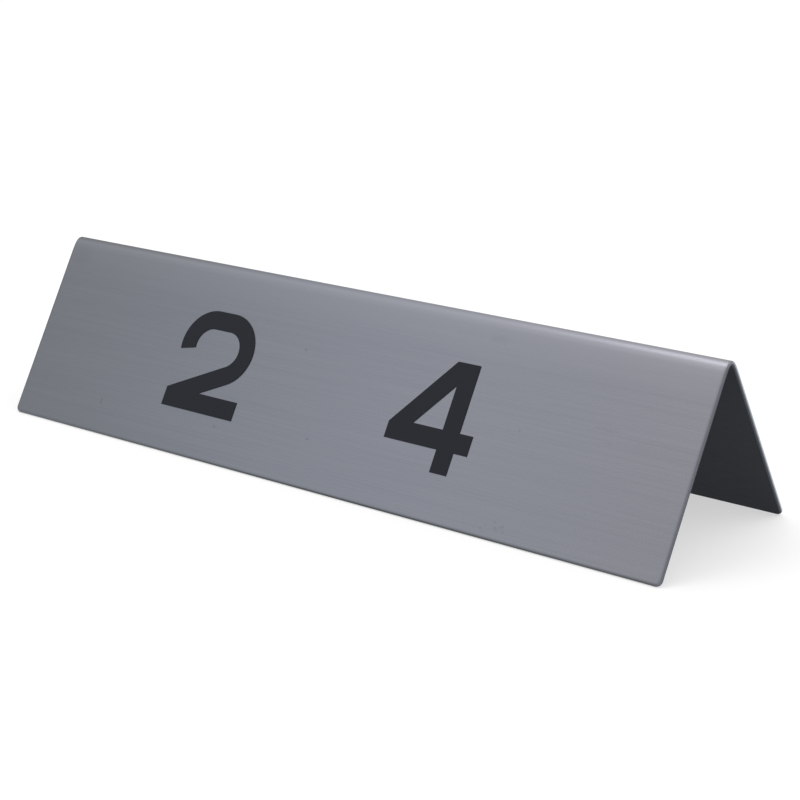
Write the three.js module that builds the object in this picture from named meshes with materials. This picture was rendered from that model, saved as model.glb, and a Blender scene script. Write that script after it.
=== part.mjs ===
// Table sign: one stainless steel sheet folded into a tent, with two digits of cut film on its front.
// Millimetres. X runs along the fold, Y to the back and Z up; the front panel faces -Y.
// The origin is on the table, under the middle of the fold.

import * as THREE from 'three';

// The sheet: a flat blank with rounded corners, folded once across its middle
const signLength = 200;        // along the fold
const blankWidth = 100;        // across the fold, measured flat
const sheetThickness = 1;
const insideBendRadius = 1.5;
const neutralShare = 0.4;      // of the thickness, from the inside of the bend to the neutral line
const tentAngle = 62;          // degrees, between the two panels
const cornerRadius = 1.5;      // of the blank's four corners
const edgeRadius = 0.4;        // of the rounded edge all round the blank
const edgeShare = 0.45;        // the most of the thickness that one rounded edge may take

// The digits: bold plain figures cut from film, stuck on the front panel
const digitHeight = 26.4;
const digitWidth = 24;
const digitStroke = 4.8;
const digitPitch = 70.2;       // between the middles of the two digits
const digitShift = -3.25;      // of the pair's middle along the fold, from the sign's middle
const digitLift = 0.6;         // of the digits' middle up the panel, from the middle of its flat
const filmThickness = 0.2;
const filmGap = 0.3;           // the layer of adhesive under the film

// Two: its bowl has two round shoulders with a straight top between them
const shoulderRadius = 9.4;
const terminalAngle = 12;      // degrees, how far the open end of the bowl drops below level

// Four: an upright with a crossbar and a slanted stroke
const crossbarHeight = 5.4;    // underside of the crossbar above the digit's foot
const crossbarTail = 3.8;      // what the crossbar reaches past the upright
const peakWidth = 6.4;         // width of the digit's top
const heelHeight = 4;          // of the upright end where the slanted stroke meets the crossbar

// Facets
const bendSteps = 24;
const cornerSteps = 8;
const edgeSteps = 3;
const arcSegments = 20;

// Sizes worked out from those above
const outsideBendRadius = insideBendRadius + sheetThickness;
const neutralRadius = insideBendRadius + neutralShare * sheetThickness;
const lean = THREE.MathUtils.degToRad(tentAngle) / 2;      // of each panel, from upright
const halfBend = Math.PI / 2 - lean;                       // turned by the fold on each side of its crest
const halfBendWidth = halfBend * neutralRadius;            // on the flat blank
const panelFlat = blankWidth / 2 - halfBendWidth;          // flat part of each panel, down its slope
const rim = Math.min(edgeRadius, edgeShare * sheetThickness, edgeShare * cornerRadius);

// A place on the blank (across: from the crest of the fold, to the back; depth: below the outer face)
// is carried round the fold. The bend's own centre line is at zero height.
function foldedPoint(along, across, depth) {
  const side = Math.sign(across);
  const turned = Math.min(Math.abs(across) / neutralRadius, halfBend);
  const pastBend = Math.max(Math.abs(across) - halfBendWidth, 0);
  const radius = outsideBendRadius - depth;
  const outwards = radius * Math.sin(turned) + pastBend * Math.cos(halfBend);
  const upwards = radius * Math.cos(turned) - pastBend * Math.sin(halfBend);
  return new THREE.Vector3(along, side * outwards, upwards);
}

// Right-hand half of the blank's outline, from the front edge to the back edge, moved in by inset
function halfOutline(inset) {
  const cornerX = signLength / 2 - cornerRadius;
  const cornerV = blankWidth / 2 - cornerRadius;
  const radius = cornerRadius - inset;
  const corner = [];
  for (let step = 0; step <= cornerSteps; step++) {
    const angle = (step / cornerSteps) * Math.PI / 2;
    corner.push([cornerX + radius * Math.sin(angle), cornerV + radius * Math.cos(angle)]);
  }
  const bend = [];
  for (let step = 0; step <= bendSteps; step++) {
    bend.push([signLength / 2 - inset, (2 * step / bendSteps - 1) * halfBendWidth]);
  }
  const front = corner.map(([x, v]) => [x, -v]);
  return [...front, ...bend, ...corner.reverse()];
}

// The rounded edge in section, from the outer face to the inner one
function edgeSection() {
  const outer = [];
  for (let step = 0; step <= edgeSteps; step++) {
    const angle = (step / edgeSteps) * Math.PI / 2;
    outer.push({ inset: rim * (1 - Math.sin(angle)), depth: rim * (1 - Math.cos(angle)) });
  }
  const inner = outer.map(({ inset, depth }) => ({ inset, depth: sheetThickness - depth }));
  return [...outer, ...inner.reverse()];
}

// The folded sheet: one ring of points for each step of the edge section, joined ring to ring,
// and closed by strips that run along the fold, on the outer face and on the inner one
function foldedSheetGeometry() {
  const points = [];
  const rings = edgeSection().map(({ inset, depth }) => {
    const right = halfOutline(inset);
    const left = right.map(([x, v]) => [-x, v]);
    return [right, left].map((half) => half.map(([x, v]) => {
      points.push(foldedPoint(x, v, depth));
      return points.length - 1;
    }));
  });

  const triangles = [];
  const quad = (a, b, c, d) => triangles.push(a, b, c, a, c, d);

  for (let ring = 0; ring < rings.length - 1; ring++) {
    const loops = [rings[ring], rings[ring + 1]].map(([right, left]) => [...right, ...left.slice().reverse()]);
    const [upper, lower] = loops;
    upper.forEach((start, index) => {
      const next = (index + 1) % upper.length;
      quad(start, lower[index], lower[next], upper[next]);
    });
  }

  const [outerRight, outerLeft] = rings[0];
  const [innerRight, innerLeft] = rings[rings.length - 1];
  for (let station = 0; station < outerRight.length - 1; station++) {
    const next = station + 1;
    quad(outerRight[station], outerRight[next], outerLeft[next], outerLeft[station]);
    quad(innerLeft[station], innerLeft[next], innerRight[next], innerRight[station]);
  }

  const geometry = new THREE.BufferGeometry().setFromPoints(points);
  geometry.setIndex(triangles);
  geometry.computeVertexNormals();
  return geometry;
}

// Two, with its lower left corner at zero. The slanted stroke touches both circles of the right
// shoulder, and its upper side ends at the top of the base on the left.
function twoShape() {
  const bore = shoulderRadius - digitStroke;
  const centreY = digitHeight - shoulderRadius;
  const rightX = digitWidth - shoulderRadius;
  const rise = centreY - digitStroke;
  const slope = Math.atan2(rise, rightX) - Math.asin(bore / Math.hypot(rightX, rise));
  const leaving = slope - Math.PI / 2;      // where the stroke leaves both circles
  const terminal = Math.PI + THREE.MathUtils.degToRad(terminalAngle);
  const touchX = rightX + shoulderRadius * Math.cos(leaving);
  const touchY = centreY + shoulderRadius * Math.sin(leaving);

  const shape = new THREE.Shape();
  shape.moveTo(0, 0);
  shape.lineTo(digitWidth, 0);
  shape.lineTo(digitWidth, digitStroke);
  shape.lineTo(touchX - (touchY - digitStroke) / Math.tan(slope), digitStroke);
  shape.absarc(rightX, centreY, shoulderRadius, leaving, Math.PI / 2, false);
  shape.absarc(shoulderRadius, centreY, shoulderRadius, Math.PI / 2, terminal, false);
  shape.absarc(shoulderRadius, centreY, bore, terminal, Math.PI / 2, true);
  shape.absarc(rightX, centreY, bore, Math.PI / 2, leaving, true);
  shape.lineTo(0, digitStroke);
  return shape;
}

// Four, with its lower left corner at zero. The sides of the slanted stroke are parallel, and its
// inner side, the upright and the crossbar leave a three-sided counter.
function fourShape() {
  const uprightRight = digitWidth - crossbarTail;
  const uprightLeft = uprightRight - digitStroke;
  const crossbarTop = crossbarHeight + digitStroke;
  const heelTop = crossbarHeight + heelHeight;
  const peakX = uprightRight - peakWidth;
  const run = peakX / (digitHeight - heelTop);      // sideways for each unit up the slant
  const innerX = digitStroke * Math.hypot(1, run) + run * (crossbarTop - heelTop);

  const shape = new THREE.Shape();
  shape.moveTo(uprightLeft, 0);
  shape.lineTo(uprightRight, 0);
  shape.lineTo(uprightRight, crossbarHeight);
  shape.lineTo(digitWidth, crossbarHeight);
  shape.lineTo(digitWidth, crossbarTop);
  shape.lineTo(uprightRight, crossbarTop);
  shape.lineTo(uprightRight, digitHeight);
  shape.lineTo(peakX, digitHeight);
  shape.lineTo(0, heelTop);
  shape.lineTo(0, crossbarHeight);
  shape.lineTo(uprightLeft, crossbarHeight);

  const counter = new THREE.Path();
  counter.moveTo(innerX, crossbarTop);
  counter.lineTo(uprightLeft, crossbarTop);
  counter.lineTo(uprightLeft, crossbarTop + (uprightLeft - innerX) / run);
  shape.holes.push(counter);
  return shape;
}

// Film cut to a digit, centred on the digit's middle, its back at zero
function filmGeometry(shape) {
  const cut = { depth: filmThickness, bevelEnabled: false, curveSegments: arcSegments };
  const geometry = new THREE.ExtrudeGeometry(shape, cut);
  geometry.translate(-digitWidth / 2, -digitHeight / 2, 0);
  return geometry;
}

const brushedSteel = new THREE.MeshStandardMaterial({ color: 0x8b8e95, roughness: 0.38, metalness: 1 });
const blackFilm = new THREE.MeshStandardMaterial({ color: 0x1b1c1e, roughness: 0.45, metalness: 0 });

const sheetGeometry = foldedSheetGeometry();
sheetGeometry.computeBoundingBox();
const bendHeight = -sheetGeometry.boundingBox.min.z;      // of the bend's centre line above the table

const sheet = new THREE.Mesh(sheetGeometry, brushedSteel);
sheet.name = 'folded_steel_sheet';
sheet.position.z = bendHeight;

// The front panel's own frame: origin at the middle of its flat outer face, X along the fold,
// Y up the panel and Z out of it
const frontPanel = new THREE.Group();
frontPanel.position.copy(foldedPoint(0, -halfBendWidth - panelFlat / 2, 0));
frontPanel.position.z += bendHeight;
frontPanel.rotation.x = halfBend;

const leftDigit = new THREE.Mesh(filmGeometry(twoShape()), blackFilm.clone());
leftDigit.name = 'left_film_digit';
leftDigit.position.set(digitShift - digitPitch / 2, digitLift, filmGap);

const rightDigit = new THREE.Mesh(filmGeometry(fourShape()), blackFilm.clone());
rightDigit.name = 'right_film_digit';
rightDigit.position.set(digitShift + digitPitch / 2, digitLift, filmGap);

frontPanel.add(leftDigit, rightDigit);

const tableSign = new THREE.Group();
tableSign.name = 'table_sign';
tableSign.add(sheet, frontPanel);

export default tableSign;
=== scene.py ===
import math

import bpy
from mathutils import Matrix, Vector


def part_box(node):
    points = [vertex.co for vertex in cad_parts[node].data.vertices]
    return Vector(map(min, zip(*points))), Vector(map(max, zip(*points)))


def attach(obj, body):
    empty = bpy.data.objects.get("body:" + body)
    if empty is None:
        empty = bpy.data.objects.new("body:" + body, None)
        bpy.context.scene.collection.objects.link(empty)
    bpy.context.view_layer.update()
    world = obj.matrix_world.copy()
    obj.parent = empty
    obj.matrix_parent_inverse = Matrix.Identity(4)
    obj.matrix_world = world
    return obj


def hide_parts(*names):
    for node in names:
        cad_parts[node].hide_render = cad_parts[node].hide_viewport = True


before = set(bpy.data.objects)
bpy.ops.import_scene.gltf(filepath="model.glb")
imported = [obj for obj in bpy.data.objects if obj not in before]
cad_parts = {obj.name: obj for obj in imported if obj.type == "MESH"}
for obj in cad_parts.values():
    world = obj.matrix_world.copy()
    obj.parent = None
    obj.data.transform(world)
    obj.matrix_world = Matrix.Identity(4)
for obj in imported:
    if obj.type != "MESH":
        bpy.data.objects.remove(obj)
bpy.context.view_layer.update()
print("frame loaded")

mm = 0.001
perMetre = 10                    # the sheet's UV maps are in tenths of a metre
sharpAngle = math.radians(60)    # an edge that turns more than this is eased
noiseSpan = (0.3, 0.7)           # where most of a noise texture's values lie
changeOver = 2 * mm              # half the strip on the crest where front values turn to rear ones
body = "root"


# Selecting and editing

def deselectAll():
    if bpy.context.object and bpy.context.object.mode != "OBJECT":
        bpy.ops.object.mode_set(mode="OBJECT")
    bpy.ops.object.select_all(action="DESELECT")


def pick(piece, parts, test):
    # leaves edit mode on, with only the faces or edges that pass the test selected
    bpy.ops.object.mode_set(mode="EDIT")
    bpy.ops.mesh.select_mode(type="FACE" if parts == "faces" else "EDGE")
    bpy.ops.mesh.select_all(action="DESELECT")
    bpy.ops.object.mode_set(mode="OBJECT")
    for part in piece.data.polygons if parts == "faces" else piece.data.edges:
        part.select = test(part)
    bpy.ops.object.mode_set(mode="EDIT")


def pickFaces(piece, test):
    pick(piece, "faces", test)


def pickEdges(piece, test):
    ends = piece.data.vertices
    pick(piece, "edges", lambda edge: test(*(ends[i].co for i in edge.vertices)))


def addPlane(name, width, depth, centre=(0, 0, 0), tilt=0):
    deselectAll()
    bpy.ops.mesh.primitive_plane_add(size=1, location=centre, rotation=(tilt, 0, 0))
    piece = bpy.context.object
    piece.name = piece.data.name = name
    piece.scale = (width, depth, 1)
    bpy.ops.object.transform_apply(location=True, rotation=True, scale=True)
    return piece


def facesOutwards():
    bpy.ops.mesh.select_all(action="SELECT")
    bpy.ops.mesh.normals_make_consistent(inside=False)


def extrudeBy(move):
    bpy.ops.mesh.extrude_region_move(TRANSFORM_OT_translate={"value": move})


def applyModifier(piece, kind, **settings):
    modifier = piece.modifiers.new(kind.lower(), kind)
    for key, value in settings.items():
        setattr(modifier, key, value)
    deselectAll()
    bpy.context.view_layer.objects.active = piece
    piece.select_set(True)
    bpy.ops.object.modifier_apply(modifier=modifier.name)


# The folded sheet

sheet = {
    "node": "folded_steel_sheet",
    "blankWidth": 100 * mm,      # across the fold, measured flat
    "thickness": 1 * mm,
    "insideRadius": 1.5 * mm,    # of the plain bend that reaches the same crest
    "neutralShare": 0.4,         # of the thickness, from the inside of the bend to the neutral line
    "tentAngle": 62,             # degrees, between the two panels
    "cornerRadius": 1.5 * mm,
    "edgeRadius": 0.4 * mm,
    # the bend is tight at its crest and runs out into the panel: how much of one side's turn each
    # stretch ends at, and its radius next to the crest's
    "runOut": ((0.58, 1), (0.85, 1.9), (0.965, 5.5), (1, 25)),
    "turnStep": 2,               # degrees
    "cornerSteps": 12,
    "edgeSteps": 4,
    "outerFacing": 0.3,          # a face that turns outwards more than this is brushed,
    "innerFacing": -0.99,        # and one that turns inwards more than this is dull
}
sheetLow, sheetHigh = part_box(sheet["node"])
sheet["length"] = sheetHigh.x - sheetLow.x
sheet["halfBend"] = math.pi / 2 - math.radians(sheet["tentAngle"]) / 2


def layOutBend():
    # the stretches of one side of the bend, from the crest to the back, measured on the outer face
    s = sheet
    whole = s["halfBend"]
    outside = s["insideRadius"] + s["thickness"]
    ends = [share * whole for share, _ in s["runOut"]]
    starts = [0] + ends[:-1]
    reach = sum(size * (math.cos(whole - end) - math.cos(whole - start))
                for (_, size), start, end in zip(s["runOut"], starts, ends))
    crestRadius = outside * (1 - math.cos(whole)) / reach
    stretches = []
    radius, centre, across = 0, Vector((0, 0, sheetHigh.z)), 0
    for (_, size), start, end in zip(s["runOut"], starts, ends):
        out = Vector((0, math.sin(start), math.cos(start)))
        centre = centre - out * (size * crestRadius - radius)
        radius = size * crestRadius
        stretches.append({"from": start, "to": end, "radius": radius, "centre": centre, "across": across})
        across += (end - start) * (radius - (1 - s["neutralShare"]) * s["thickness"])
    s["bend"] = stretches
    s["bendWidth"] = across

    # the panels end where those of a plain bend do
    plainBend = whole * (s["insideRadius"] + s["neutralShare"] * s["thickness"])
    apex = Vector((0, 0, sheetHigh.z + outside * (1 / math.cos(whole) - 1)))
    fromApex = outside * math.tan(whole) + s["blankWidth"] / 2 - plainBend
    s["panelFlat"] = fromApex - (centre + radius * outOfPanel(1) - apex).dot(downPanel(1))


def downPanel(side):
    # along the panel, away from the fold; side is -1 for the front panel and 1 for the rear one
    return Vector((0, side * math.cos(sheet["halfBend"]), -math.sin(sheet["halfBend"])))


def outOfPanel(side):
    return Vector((0, side * math.sin(sheet["halfBend"]), math.cos(sheet["halfBend"])))


def toSide(place, side):
    return Vector((place.x, side * place.y, place.z))


def bendEnd(side):
    # middle of the sheet's thickness where the bend runs into the panel
    last = sheet["bend"][-1]
    return toSide(last["centre"], side) + (last["radius"] - sheet["thickness"] / 2) * outOfPanel(side)


def placeOnSheet(point):
    # a point's place across the flat blank from the crest, its depth below the outer face, and the way
    # straight out of the sheet there
    side = -1 if point.y < 0 else 1
    for stretch in sheet["bend"]:
        offset = toSide(Vector((0, point.y, point.z)), side) - stretch["centre"]
        turned = math.atan2(offset.y, offset.z)
        if turned < stretch["to"]:
            share = (turned - stretch["from"]) / (stretch["to"] - stretch["from"])
            neutral = stretch["radius"] - (1 - sheet["neutralShare"]) * sheet["thickness"]
            across = stretch["across"] + share * (stretch["to"] - stretch["from"]) * neutral
            return side * across, stretch["radius"] - offset.length, toSide(offset.normalized(), side)
    across = sheet["bendWidth"] + offset.dot(downPanel(1))
    return side * across, stretch["radius"] - offset.dot(outOfPanel(1)), outOfPanel(side)


def spinStretch(stretch, side, angle):
    bpy.ops.mesh.spin(steps=math.ceil(math.degrees(angle) / sheet["turnStep"]), angle=angle,
                      center=toSide(stretch["centre"], side), axis=(1, 0, 0))


def modelSheet():
    # a cut section of the sheet, spun round the bend from front to back and drawn down both panels
    s = sheet
    tilt = s["halfBend"] - math.pi / 2
    piece = addPlane("folded_sheet", s["length"], s["thickness"], bendEnd(-1), tilt)
    bpy.ops.object.mode_set(mode="EDIT")
    bpy.ops.mesh.select_all(action="SELECT")
    crest, *outer = s["bend"]
    for stretch in reversed(outer):
        spinStretch(stretch, -1, stretch["to"] - stretch["from"])
    spinStretch(crest, 1, 2 * crest["to"])
    for stretch in outer:
        spinStretch(stretch, 1, stretch["to"] - stretch["from"])
    near = s["thickness"] / 100
    for side in (-1, 1):
        end = bendEnd(side)
        pickFaces(piece, lambda face: (face.center - end).length < near)
        extrudeBy(downPanel(side) * s["panelFlat"])
    facesOutwards()

    # the four lower corners, rounded through the thickness
    def cornerEdge(a, b):
        atEnd = abs(a.x - b.x) < s["edgeRadius"] and abs(abs(a.x) - s["length"] / 2) < s["edgeRadius"]
        return atEnd and max(a.z, b.z) < 2 * s["thickness"]
    pickEdges(piece, cornerEdge)
    bpy.ops.mesh.bevel(offset=s["cornerRadius"], segments=s["cornerSteps"], affect="EDGES")

    # the eased edge all round
    bpy.ops.mesh.select_all(action="DESELECT")
    bpy.ops.mesh.edges_select_sharp(sharpness=sharpAngle)
    bpy.ops.mesh.bevel(offset=s["edgeRadius"], segments=s["edgeSteps"], affect="EDGES")
    bpy.ops.object.mode_set(mode="OBJECT")
    return piece


def flattenOut(piece):
    # two UV maps: the blank laid flat, and the cut edge, with the way round it across and the depth
    # through the sheet up, from 0 on the outer face to 1 on the inner one
    blankMap = piece.data.uv_layers.new(name="blank")
    edgeMap = piece.data.uv_layers.new(name="cutEdge")
    for loop in piece.data.loops:
        point = piece.data.vertices[loop.vertex_index].co
        across, depth, _ = placeOnSheet(point)
        blankMap.data[loop.index].uv = (point.x * perMetre, across * perMetre)
        edgeMap.data[loop.index].uv = ((point.x + across) * perMetre, depth / sheet["thickness"])


def paintSheet(piece, finishes):
    # slot 0 is the brushed outer face and its eased edge, 1 the inner face and 2 the cut edge
    for finish in finishes:
        piece.data.materials.append(finish)
    for face in piece.data.polygons:
        _, _, out = placeOnSheet(face.center)
        facing = face.normal.dot(out)
        onOuter, onInner = facing > sheet["outerFacing"], facing < sheet["innerFacing"]
        face.material_index = 0 if onOuter else 1 if onInner else 2


# The film digits

digits = {
    "height": 26.4 * mm,
    "width": 24 * mm,
    "stroke": 4.8 * mm,
    "film": 0.12 * mm,           # thickness of the film
    "offSteel": 0.01 * mm,       # what its adhesive holds it away from the steel
    "softEdge": 0.03 * mm,
    # the two
    "shoulder": 9.4 * mm,        # outer radius of the bowl's two shoulders
    "terminal": 12,              # degrees, how far the bowl's open end drops below level
    "arcSteps": 32,
    # the four
    "crossbar": 5.4 * mm,        # underside of the crossbar above the digit's foot
    "tail": 3.8 * mm,            # what the crossbar reaches past the upright
    "peak": 6.4 * mm,            # width of the digit's top
    "heel": 4 * mm,              # upright end where the slanted stroke meets the crossbar
}


def bothEnds(test):
    return lambda a, b: test(a) and test(b)


def twoStrokes():
    # a flat strip of film: the straight top first, then a shoulder each side, the slant and the base
    d = digits
    near = d["stroke"] / 500
    leftX, rightX = d["shoulder"], d["width"] - d["shoulder"]
    centreY = d["height"] - d["shoulder"]
    bore = d["shoulder"] - d["stroke"]
    rise = centreY - d["stroke"]
    slope = math.atan2(rise, rightX) - math.asin(bore / math.hypot(rightX, rise))
    slant = Vector((-math.cos(slope), -math.sin(slope), 0))
    top = (d["width"] / 2, d["height"] - d["stroke"] / 2, 0)
    piece = addPlane("left_digit", rightX - leftX, d["stroke"], top)

    turns = ((leftX, math.pi / 2 + math.radians(d["terminal"]), -1), (rightX, math.pi - slope, 1))
    for centreX, turn, way in turns:
        pickEdges(piece, bothEnds(lambda p: abs(p.x - centreX) < near))
        bpy.ops.mesh.spin(steps=d["arcSteps"], angle=turn, center=(centreX, centreY, 0), axis=(0, 0, way))
    extrudeBy(slant * d["width"])
    bpy.ops.mesh.select_all(action="SELECT")
    bpy.ops.mesh.bisect(plane_co=(0, d["stroke"], 0), plane_no=(0, 1, 0), clear_inner=True)
    bpy.ops.object.mode_set(mode="OBJECT")

    pickEdges(piece, bothEnds(lambda p: abs(p.y - d["stroke"]) < near))
    extrudeBy((0, -d["stroke"], 0))
    bpy.ops.object.mode_set(mode="OBJECT")
    baseEnd = max(v.co.x for v in piece.data.vertices if abs(v.co.y) < near)
    atBaseEnd = bothEnds(lambda p: abs(p.x - baseEnd) < near)
    pickEdges(piece, lambda a, b: atBaseEnd(a, b) and min(a.y, b.y) < near)
    extrudeBy((d["width"] - baseEnd, 0, 0))
    return piece


def fourStrokes():
    # a blank of film, cut right across along each side of each stroke, and the waste peeled off
    d = digits
    right = d["width"] - d["tail"]
    left = right - d["stroke"]
    barTop = d["crossbar"] + d["stroke"]
    heelTop = d["crossbar"] + d["heel"]
    run = (right - d["peak"]) / (d["height"] - heelTop)
    across = d["stroke"] * math.hypot(1, run)
    piece = addPlane("right_digit", d["width"], d["height"], (d["width"] / 2, d["height"] / 2, 0))

    def outerX(y):
        return max(run * (y - heelTop), 0)

    def keep(face):
        x, y, _ = face.center
        if y < d["crossbar"] or outerX(y) > x:
            return left < x < right
        if y < barTop:
            return True
        return x < right and (x > left or x < outerX(y) + across)

    upright, level, slanted = (1, 0, 0), (0, 1, 0), (1, -run, 0)
    cuts = [((left, 0, 0), upright), ((right, 0, 0), upright),
            ((0, d["crossbar"], 0), level), ((0, barTop, 0), level),
            ((0, heelTop, 0), slanted), ((across, heelTop, 0), slanted)]
    for place, direction in cuts:
        bpy.ops.object.mode_set(mode="EDIT")
        bpy.ops.mesh.select_all(action="SELECT")
        bpy.ops.mesh.bisect(plane_co=place, plane_no=direction)
        bpy.ops.object.mode_set(mode="OBJECT")
    pickFaces(piece, lambda face: not keep(face))
    bpy.ops.mesh.delete(type="FACE")
    bpy.ops.mesh.select_all(action="SELECT")
    bpy.ops.mesh.dissolve_limited(angle_limit=math.radians(1))
    return piece


def thickenFilm(piece):
    # from a flat shape to film with its cut edge just broken
    d = digits
    bpy.ops.mesh.select_all(action="SELECT")
    bpy.ops.mesh.remove_doubles(threshold=d["stroke"] / 1000)
    extrudeBy((0, 0, d["film"]))
    facesOutwards()
    bpy.ops.mesh.select_all(action="DESELECT")
    bpy.ops.mesh.edges_select_sharp(sharpness=sharpAngle)
    bpy.ops.mesh.bevel(offset=d["softEdge"], segments=2, affect="EDGES")
    bpy.ops.object.mode_set(mode="OBJECT")


def placeOnPanel(piece, node):
    # from its own flat frame onto the front panel, where the CAD has the film
    d = digits
    low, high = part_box(node)
    middle, out = (low + high) / 2, outOfPanel(-1)
    above = (middle - bendEnd(-1)).dot(out) - sheet["thickness"] / 2
    middle -= out * (above - d["offSteel"])
    onPanel = Matrix.Translation(middle) @ Matrix.Rotation(sheet["halfBend"], 4, "X")
    piece.matrix_world = onPanel @ Matrix.Translation((-d["width"] / 2, -d["height"] / 2, 0))
    deselectAll()
    piece.select_set(True)
    bpy.context.view_layer.objects.active = piece
    bpy.ops.object.transform_apply(location=True, rotation=True, scale=True)


def modelDigits():
    pieces = []
    for strokes, node in ((twoStrokes, "left_film_digit"), (fourStrokes, "right_film_digit")):
        piece = strokes()
        thickenFilm(piece)
        placeOnPanel(piece, node)
        pieces.append(piece)
    return pieces


# Finishes

def newFinish(name):
    material = bpy.data.materials.new(name)
    material.use_nodes = True
    return material, material.node_tree, material.node_tree.nodes["Principled BSDF"]


def addNode(tree, kind, values=None, **options):
    # values are numbers, or other nodes' outputs to be linked, by the name or place of the input
    node = tree.nodes.new(kind)
    for key, value in options.items():
        setattr(node, key, value)
    for key, value in (values or {}).items():
        if isinstance(value, bpy.types.NodeSocket):
            tree.links.new(value, node.inputs[key])
        else:
            node.inputs[key].default_value = value
    return node


def link(tree, output, shader, name):
    tree.links.new(output, shader.inputs[name])


def noise(tree, place, scale, detail=2, roughness=0.5):
    stretched = addNode(tree, "ShaderNodeMapping", {"Vector": place, "Scale": scale})
    settings = {"Vector": stretched.outputs[0], "Scale": 1, "Detail": detail, "Roughness": roughness}
    return addNode(tree, "ShaderNodeTexNoise", settings).outputs["Fac"]


def blend(tree, share, first, second, way="MIX"):
    # the mix of two colours, each a socket or three numbers
    values = {"Factor": share}
    for place, colour in ((6, first), (7, second)):
        values[place] = colour if isinstance(colour, bpy.types.NodeSocket) else (*colour, 1)
    return addNode(tree, "ShaderNodeMix", values, data_type="RGBA", blend_type=way).outputs[2]


def sweep(tree, value, low, high, toLow, toHigh, shape="LINEAR"):
    ends = {"Value": value, "From Min": low, "From Max": high, "To Min": toLow, "To Max": toHigh}
    return addNode(tree, "ShaderNodeMapRange", ends, interpolation_type=shape).outputs[0]


def reckon(tree, operation, *values):
    return addNode(tree, "ShaderNodeMath", dict(enumerate(values)), operation=operation).outputs[0]


def split(tree, vector):
    # the three parts of a place or direction
    return addNode(tree, "ShaderNodeSeparateXYZ", {0: vector}).outputs


def uvPlace(tree, name):
    return addNode(tree, "ShaderNodeUVMap", uv_map=name).outputs[0]


def roughen(tree, shader, height, depth):
    bump = addNode(tree, "ShaderNodeBump", {"Height": height, "Strength": 1, "Distance": depth})
    link(tree, bump.outputs[0], shader, "Normal")


brushed = {
    "dark": (0.252, 0.262, 0.297),
    "light": (0.290, 0.300, 0.337),
    "rim": (0.150, 0.155, 0.178),        # painted shade: darker along the sheet's edge
    "rimWidth": 1 * mm,
    "rimShare": {"end": 0.6, "footLeft": 0.45, "footRight": 1, "rear": 0.3},
    "lipShade": (0.034, 0.047, 0.042),        # painted shade, darkest on the eased edge of the foot
    "lipWidth": 0.6 * mm,
    "lipPeak": 20 * mm,                  # where along the foot there is most of it
    "lipEnds": (0.45, 0.5),              # and how much there is at its left and right ends
    "footBlend": 1 * mm,                 # how far the end's rim runs over into the foot's, each way
    "stretched": (0.302, 0.309, 0.345),  # painted highlight: paler over the fold
    "foldHighlightShare": 0.6,
    "foldHighlightTo": (4 * mm, 12 * mm),    # from the crest
    # the noises that make up the brushing: repeats in a tenth of a metre, along and across the hairlines
    "band": (1.2, 16, 1),
    "stroke": (1.4, 62, 1),
    "hair": (1.8, 230, 1),
    "fineHair": (2.5, 560, 1),
    "grain": (330, 330, 1),
    "weights": {"band": 0.3, "stroke": 0.6, "grain": 2},  # in the colour, next to hair and fineHair
    "tones": (1.85, 3.05),               # the weighted sum where the steel is darkest and lightest
    "roughness": (0.296, 0.314),
    "anisotropic": 0.8,
    "highlightTurn": 0.25,               # of a full turn, from the direction of the hairlines
    "groove": 0.0006 * mm,               # depth of a hairline
    "mark": (0.10, 0.10, 0.11),
    # next to a mark's size: how far the grain eats into it, and where it has faded out
    "markRagged": 1.2,
    "markSoft": 1.9,
    # the front panel's specks, scratches and scuffs, in millimetres: along the fold, down the blank
    # from the crest, half the length, half the width and how strong
    "marks": ((-95.5, 4.9, 3.8, 2.8, 0.07), (-80.7, 43.2, 0.5, 0.3, 0.14), (-70.7, 41.7, 0.3, 1.1, 0.26),
              (-31.0, 40.7, 0.6, 0.5, 0.22), (-10.8, 17.0, 0.5, 0.3, 0.27), (-1.7, 38.0, 0.35, 0.35, 0.34),
              (42.5, 5.2, 2.6, 1.2, 0.07), (55.2, 24.5, 0.25, 0.5, 0.2), (53.2, 47.7, 0.4, 0.35, 0.16),
              (54.2, 46.9, 0.35, 0.2, 0.18), (53.8, 48.3, 0.7, 0.25, 0.1), (56.4, 45.6, 0.4, 0.3, 0.19),
              (56.8, 46.9, 0.45, 0.3, 0.19), (57.2, 47.2, 0.45, 0.3, 0.19), (58.1, 46.5, 0.6, 0.3, 0.16),
              (58.7, 46.3, 0.5, 0.3, 0.16), (58.9, 47.3, 0.6, 0.35, 0.1), (77.0, 20.0, 3.6, 0.5, 0.07),
              (78.2, 23.0, 0.7, 0.3, 0.12)),
}


def markStrength(tree, blank, grain):
    # at each place, how strong the strongest of the marks is there
    marked = 0
    for x, down, halfLong, halfWide, strength in brushed["marks"]:
        shift = {"Vector": blank, "Scale": Vector((1 / halfLong, 1 / halfWide, 0)) / (perMetre * mm),
                 "Location": (-x / halfLong, down / halfWide, 0)}
        centred = addNode(tree, "ShaderNodeMapping", shift).outputs[0]
        away = addNode(tree, "ShaderNodeVectorMath", {0: centred}, operation="LENGTH").outputs["Value"]
        away = reckon(tree, "MULTIPLY_ADD", grain, brushed["markRagged"], away)
        faded = sweep(tree, away, 1, brushed["markSoft"], strength, 0, "SMOOTHSTEP")
        marked = reckon(tree, "MAXIMUM", marked, faded)
    return marked


def towardsRear(tree, across, front, rear):
    # from one value on the front panel to another on the rear one, changed over on the crest
    reach = changeOver * perMetre
    return sweep(tree, across, -reach, reach, front, rear)


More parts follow.
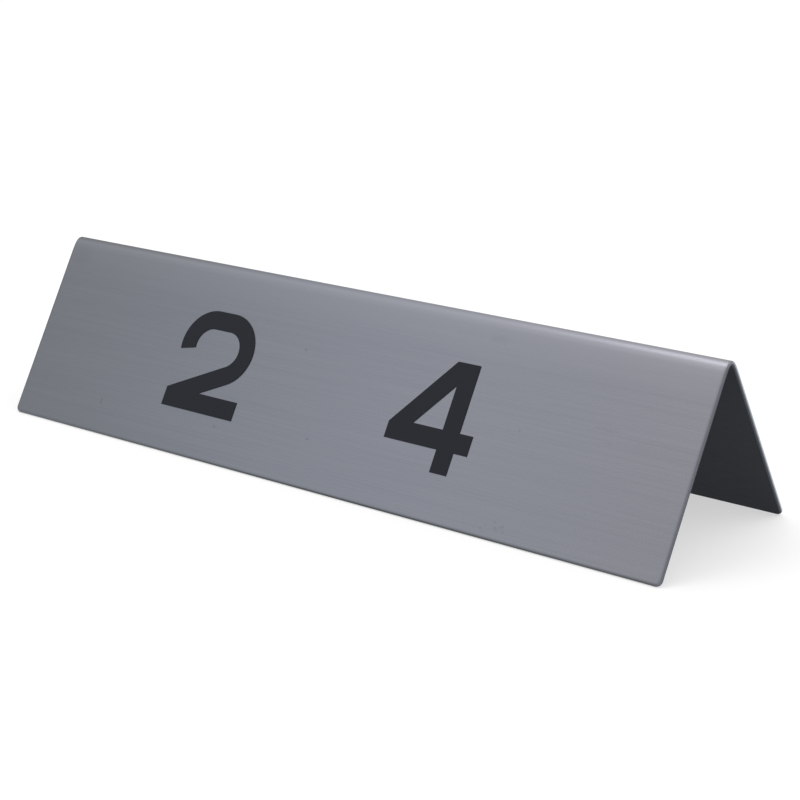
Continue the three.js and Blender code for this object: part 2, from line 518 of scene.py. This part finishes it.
def brushedFinish():
    b = brushed
    material, tree, shader = newFinish("hairline_steel")
    blank = uvPlace(tree, "blank")
    band, stroke, hair, fine, grain = (noise(tree, blank, b[kind], detail=1)
                                       for kind in ("band", "stroke", "hair", "fineHair", "grain"))
    uneven = reckon(tree, "ADD", hair, fine)
    for part, kind in ((band, "band"), (stroke, "stroke"), (grain, "grain")):
        uneven = reckon(tree, "MULTIPLY_ADD", part, b["weights"][kind], uneven)
    steel = blend(tree, sweep(tree, uneven, *b["tones"], 0, 1), b["dark"], b["light"])

    # where a point is along the fold and across the blank, and how far in from the blank's edge
    along, across, _ = split(tree, blank)
    fromCrest = reckon(tree, "ABSOLUTE", across)
    half = sheet["length"] / 2 * perMetre
    fromEnd = reckon(tree, "SUBTRACT", half, reckon(tree, "ABSOLUTE", along))
    fromFoot = reckon(tree, "SUBTRACT", (sheet["bendWidth"] + sheet["panelFlat"]) * perMetre, fromCrest)
    inFrom = reckon(tree, "SMOOTH_MIN", fromEnd, fromFoot, sheet["cornerRadius"] * perMetre)

    # the fold, pulled paler
    near, far = b["foldHighlightTo"]
    overFold = sweep(tree, fromCrest, near * perMetre, far * perMetre, 1, 0, "SMOOTHSTEP")
    # painted highlight: the fold paler, fading out away from the crest
    overFold = reckon(tree, "MULTIPLY", overFold, b["foldHighlightShare"])
    steel = blend(tree, overFold, steel, b["stretched"])

    # painted shade on the rim, stronger along the foot towards +X, and weak on the rear panel
    share = b["rimShare"]
    reach = b["footBlend"] * perMetre
    atFoot = sweep(tree, reckon(tree, "SUBTRACT", fromEnd, fromFoot), -reach, reach, 0, 1)
    footRimShading = sweep(tree, along, -half, half, share["footLeft"], share["footRight"])
    rimShading = sweep(tree, atFoot, 0, 1, share["end"], footRimShading)
    rimShading = reckon(tree, "MULTIPLY", rimShading, towardsRear(tree, across, 1, share["rear"]))
    atRim = sweep(tree, inFrom, 0, b["rimWidth"] * perMetre, 1, 0, "SMOOTHSTEP")
    steel = blend(tree, reckon(tree, "MULTIPLY", atRim, rimShading), steel, b["rim"])

    # painted shade along the lip of the foot
    peak = b["lipPeak"] * perMetre
    toLeft = sweep(tree, along, -half, peak, b["lipEnds"][0], 1)
    toRight = sweep(tree, along, peak, half, 1, b["lipEnds"][1])
    lipShadeShare = reckon(tree, "MULTIPLY", atFoot, reckon(tree, "MULTIPLY", toLeft, toRight))
    atLipShade = sweep(tree, inFrom, 0, b["lipWidth"] * perMetre, lipShadeShare, 0, "SMOOTHSTEP")
    steel = blend(tree, atLipShade, steel, b["lipShade"])
    link(tree, blend(tree, markStrength(tree, blank, grain), steel, b["mark"]), shader, "Base Color")

    link(tree, sweep(tree, band, *noiseSpan, *b["roughness"]), shader, "Roughness")
    shader.inputs["Metallic"].default_value = 1
    shader.inputs["Anisotropic"].default_value = b["anisotropic"]
    shader.inputs["Anisotropic Rotation"].default_value = b["highlightTurn"]
    tangent = addNode(tree, "ShaderNodeTangent", direction_type="UV_MAP", uv_map="blank")
    link(tree, tangent.outputs[0], shader, "Tangent")
    roughen(tree, shader, hair, b["groove"])
    return material


inner = {
    # painted shade: the back of the sheet is coloured this dark for the shade inside the fold
    "dark": (0.040, 0.043, 0.052),
    "light": (0.053, 0.057, 0.067),
    "mill": (20, 160, 1),        # repeats in a tenth of a metre, along and across the fold
    "roughness": (0.50, 0.62),
    "relief": 0.006 * mm,
    "footShade": 0.78,           # painted shade: how bright the foot is, next to the fold
    "footFrom": (15 * mm, 48 * mm),      # from the crest, where it starts and where it is all there
}


def innerFinishAndShade():
    # the unpolished back of the sheet, coloured dark as painted shade for the hollow under the fold, and
    # darker still towards the foot as more painted shade
    material, tree, shader = newFinish("dull_back_of_sheet_in_painted_shade")
    blank = uvPlace(tree, "blank")
    mill = noise(tree, blank, inner["mill"], detail=4, roughness=0.6)
    fromCrest = reckon(tree, "ABSOLUTE", split(tree, blank)[1])
    near, far = inner["footFrom"]
    footwards = sweep(tree, fromCrest, near * perMetre, far * perMetre, 0, 1)
    shades = [[[level * share for level in inner[tone]] for tone in ("dark", "light")]
              for share in (1, inner["footShade"])]
    high, low = (blend(tree, mill, *tones) for tones in shades)
    link(tree, blend(tree, footwards, high, low), shader, "Base Color")
    link(tree, sweep(tree, mill, *noiseSpan, *inner["roughness"]), shader, "Roughness")
    roughen(tree, shader, mill, inner["relief"])
    shader.inputs["Metallic"].default_value = 1
    return material


edge = {
    "burnished": (0.24, 0.255, 0.29),    # next to the outer face, where the shear cut
    # painted light: the rear panel's cut edge is a lighter copy of the front's
    "burnishedRearPaintedLight": (0.44, 0.47, 0.53),
    "torn": (0.096, 0.106, 0.125),       # next to the inner face, where the sheet parted, and darker there with painted shade
    "roughness": (0.42, 0.58),
    "marks": (1500, 2.5, 1),             # repeats in a tenth of a metre round the edge, and through it
    "relief": 0.004 * mm,
    # in shares of the thickness
    "tornFrom": (0.05, 0.55),            # depth at which the steel starts to be torn, and is torn all over
    "rearLitReach": 0.35,                  # how much further through the rear panel the burnished tone reaches: painted light
    "ragged": 0.12,                      # how far all that wanders each way
}


def edgeFinish():
    # the sheared edge: burnished towards the outer face and dull towards the inner one, with painted shade
    # towards the inner face and painted light on the rear panel's edge
    material, tree, shader = newFinish("sheared_edge")
    cut = uvPlace(tree, "cutEdge")
    marks = noise(tree, cut, edge["marks"], detail=3, roughness=0.6)
    wander = sweep(tree, marks, *noiseSpan, -edge["ragged"], edge["ragged"])
    uneven = reckon(tree, "ADD", split(tree, cut)[1], wander)
    atRear = towardsRear(tree, split(tree, uvPlace(tree, "blank"))[1], 0, 1)
    uneven = reckon(tree, "MULTIPLY_ADD", atRear, -edge["rearLitReach"], uneven)
    dulled = sweep(tree, uneven, *edge["tornFrom"], 0, 1, "SMOOTHSTEP")
    # painted light: the rear panel's cut edge lighter than the front's
    burnished = blend(tree, atRear, edge["burnished"], edge["burnishedRearPaintedLight"])
    link(tree, blend(tree, dulled, burnished, edge["torn"]), shader, "Base Color")
    link(tree, sweep(tree, dulled, 0, 1, *edge["roughness"]), shader, "Roughness")
    roughen(tree, shader, marks, edge["relief"])
    shader.inputs["Metallic"].default_value = 1
    return material


film = {
    "dark": (0.006, 0.0083, 0.0142),
    "light": (0.0088, 0.0115, 0.019),
    "skin": (1400, 1400, 1400),          # repeats in a metre
    "cloud": (60, 60, 60),
    "roughness": (0.36, 0.46),
    "relief": 0.0015 * mm,
    "shine": 0.285,
}


def filmFinish():
    material, tree, shader = newFinish("satin_black_film")
    place = addNode(tree, "ShaderNodeTexCoord").outputs["Object"]
    skin = noise(tree, place, film["skin"])
    cloud = noise(tree, place, film["cloud"], detail=3)
    link(tree, blend(tree, cloud, film["dark"], film["light"]), shader, "Base Color")
    link(tree, sweep(tree, cloud, *noiseSpan, *film["roughness"]), shader, "Roughness")
    shader.inputs["Specular IOR Level"].default_value = film["shine"]
    roughen(tree, shader, skin, film["relief"])
    return material


# Table, light and camera

studio = {
    "floorSize": 12,
    "floor": (0.46, 0.46, 0.46),
    "floorRoughness": 0.9,
    "floorLift": 0.56,           # what brings the floor up to white where it is seen
    # the sky's colour by how far it lies towards +X, from -1 to 1
    "sky": ((-0.80, (0.48, 0.50, 0.49)), (-0.72, (0.55, 0.57, 0.56)), (-0.68, (0.65, 0.67, 0.68)),
            (-0.63, (0.83, 0.87, 0.915)), (-0.57, (0.89, 0.905, 0.94)), (-0.51, (0.82, 0.815, 0.825)),
            (-0.44, (0.71, 0.685, 0.68)), (0.2, (0.75, 0.75, 0.75)), (0.6, (0.55, 0.56, 0.58)),
            (0.9, (0.45, 0.46, 0.48))),
    "overhead": 1.55,            # high up, next to low down
    "overheadFrom": (0.785, 1.0),        # where low turns to high, towards +Z
    "overheadTilt": 0.445,       # how much lower it reaches towards -X and +X
    "overheadTint": (1, 0.975, 0.955),
    "behind": (0.7, 1.15),       # towards +Y, next to the front, on the left and on the right
    "behindAcross": (-0.66, -0.42),      # where left turns to right, towards +X
    "behindFrom": (-0.25, 0.15),         # where front turns to behind, towards +Y
    "behindRight": 1.35,         # and how much more of it far to the right,
    "behindRightTo": 0.6,        # which is this far towards +X
    "softbox": {"at": (-0.25, -0.16, 1.0), "size": (0.4, 0.4), "power": 1.4},
}


def layFloor():
    floor = addPlane("floor", studio["floorSize"], studio["floorSize"])
    material, tree, shader = newFinish("white_table")
    shader.inputs["Base Color"].default_value = (*studio["floor"], 1)
    shader.inputs["Roughness"].default_value = studio["floorRoughness"]
    path = addNode(tree, "ShaderNodeLightPath")
    seen = path.outputs["Is Camera Ray"]
    for ray in ("Is Glossy Ray", "Is Transmission Ray"):
        seen = reckon(tree, "MAXIMUM", seen, path.outputs[ray])
    link(tree, reckon(tree, "MULTIPLY", seen, studio["floorLift"]), shader, "Emission Strength")
    shader.inputs["Emission Color"].default_value = (1, 1, 1, 1)
    floor.data.materials.append(material)


def lightWorld():
    world = bpy.data.worlds.new("studio")
    bpy.context.scene.world = world
    world.use_nodes = True
    tree = world.node_tree
    right, back, up = split(tree, addNode(tree, "ShaderNodeTexCoord").outputs["Generated"])
    ramp = addNode(tree, "ShaderNodeValToRGB", {0: sweep(tree, right, -1, 1, 0, 1)})
    stops = ramp.color_ramp.elements
    while len(stops) < len(studio["sky"]):
        stops.new(1)
    for stop, (towards, colour) in zip(stops, studio["sky"]):
        stop.position, stop.color = (towards + 1) / 2, (*colour, 1)

    # brighter and warmer overhead
    sideways = reckon(tree, "ABSOLUTE", right)
    height = reckon(tree, "MULTIPLY_ADD", sideways, studio["overheadTilt"], up)
    overhead = sweep(tree, height, *studio["overheadFrom"], 0, 1, "SMOOTHSTEP")
    high = sweep(tree, overhead, 0, 1, 1, studio["overhead"])
    tinted = blend(tree, overhead, ramp.outputs[0], studio["overheadTint"], "MULTIPLY")

    # behind the sign, duller on the left and brighter on the right
    behind = sweep(tree, right, *studio["behindAcross"], *studio["behind"], "SMOOTHSTEP")
    farRight = sweep(tree, right, 0, studio["behindRightTo"], 1, studio["behindRight"])
    behind = reckon(tree, "MULTIPLY", behind, farRight)
    rearLevel = sweep(tree, back, *studio["behindFrom"], 1, behind, "SMOOTHSTEP")

    # plain white where the camera sees past the table
    seen = addNode(tree, "ShaderNodeLightPath").outputs["Is Camera Ray"]
    background = tree.nodes["Background"]
    link(tree, blend(tree, seen, tinted, (1, 1, 1)), background, "Color")
    level = sweep(tree, seen, 0, 1, reckon(tree, "MULTIPLY", high, rearLevel), 1)
    link(tree, level, background, "Strength")


def addSoftbox(name, at, size, power, towards=(0, 0, 0.02)):
    lamp = bpy.data.lights.new(name, "AREA")
    lamp.shape = "RECTANGLE"
    lamp.size, lamp.size_y = size
    lamp.energy = power
    holder = bpy.data.objects.new(name, lamp)
    holder.location = at
    holder.rotation_euler = (Vector(towards) - Vector(at)).to_track_quat("-Z", "Y").to_euler()
    bpy.context.scene.collection.objects.link(holder)


camera = {
    "at": (295.87 * mm, -355.48 * mm, 162.81 * mm),
    "right": (0.781916, 0.623257, -0.012561),
    "down": (0.180233, -0.24531, -0.952543),
    "lens": 89.266,              # in millimetres, as the sensor's width is
    "sensor": 36,
    "clipStart": 10 * mm,
}


def setCamera():
    right, up = Vector(camera["right"]), -Vector(camera["down"])
    lens = bpy.data.cameras.new("camera")
    lens.lens, lens.sensor_width = camera["lens"], camera["sensor"]
    lens.clip_start = camera["clipStart"]
    holder = bpy.data.objects.new("camera", lens)
    turn = Matrix((right, up, right.cross(up))).transposed().to_4x4()
    holder.matrix_world = Matrix.Translation(camera["at"]) @ turn
    bpy.context.scene.collection.objects.link(holder)
    bpy.context.scene.camera = holder


# Making the scene

layOutBend()
steelSheet = modelSheet()
flattenOut(steelSheet)
paintSheet(steelSheet, (brushedFinish(), innerFinishAndShade(), edgeFinish()))
steelSheet.data.shade_smooth()
applyModifier(steelSheet, "WEIGHTED_NORMAL", weight=100)
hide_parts(sheet["node"])
print("sheet folded")

leftDigit, rightDigit = modelDigits()
satinFilm = filmFinish()
for digit, node in ((leftDigit, "left_film_digit"), (rightDigit, "right_film_digit")):
    digit.data.materials.append(satinFilm)
    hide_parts(node)
print("digits cut")

for piece in (steelSheet, leftDigit, rightDigit):
    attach(piece, body)

layFloor()
lightWorld()
addSoftbox("overhead_softbox", **studio["softbox"])
setCamera()
bpy.context.scene.view_settings.view_transform = "Standard"
print("studio set")
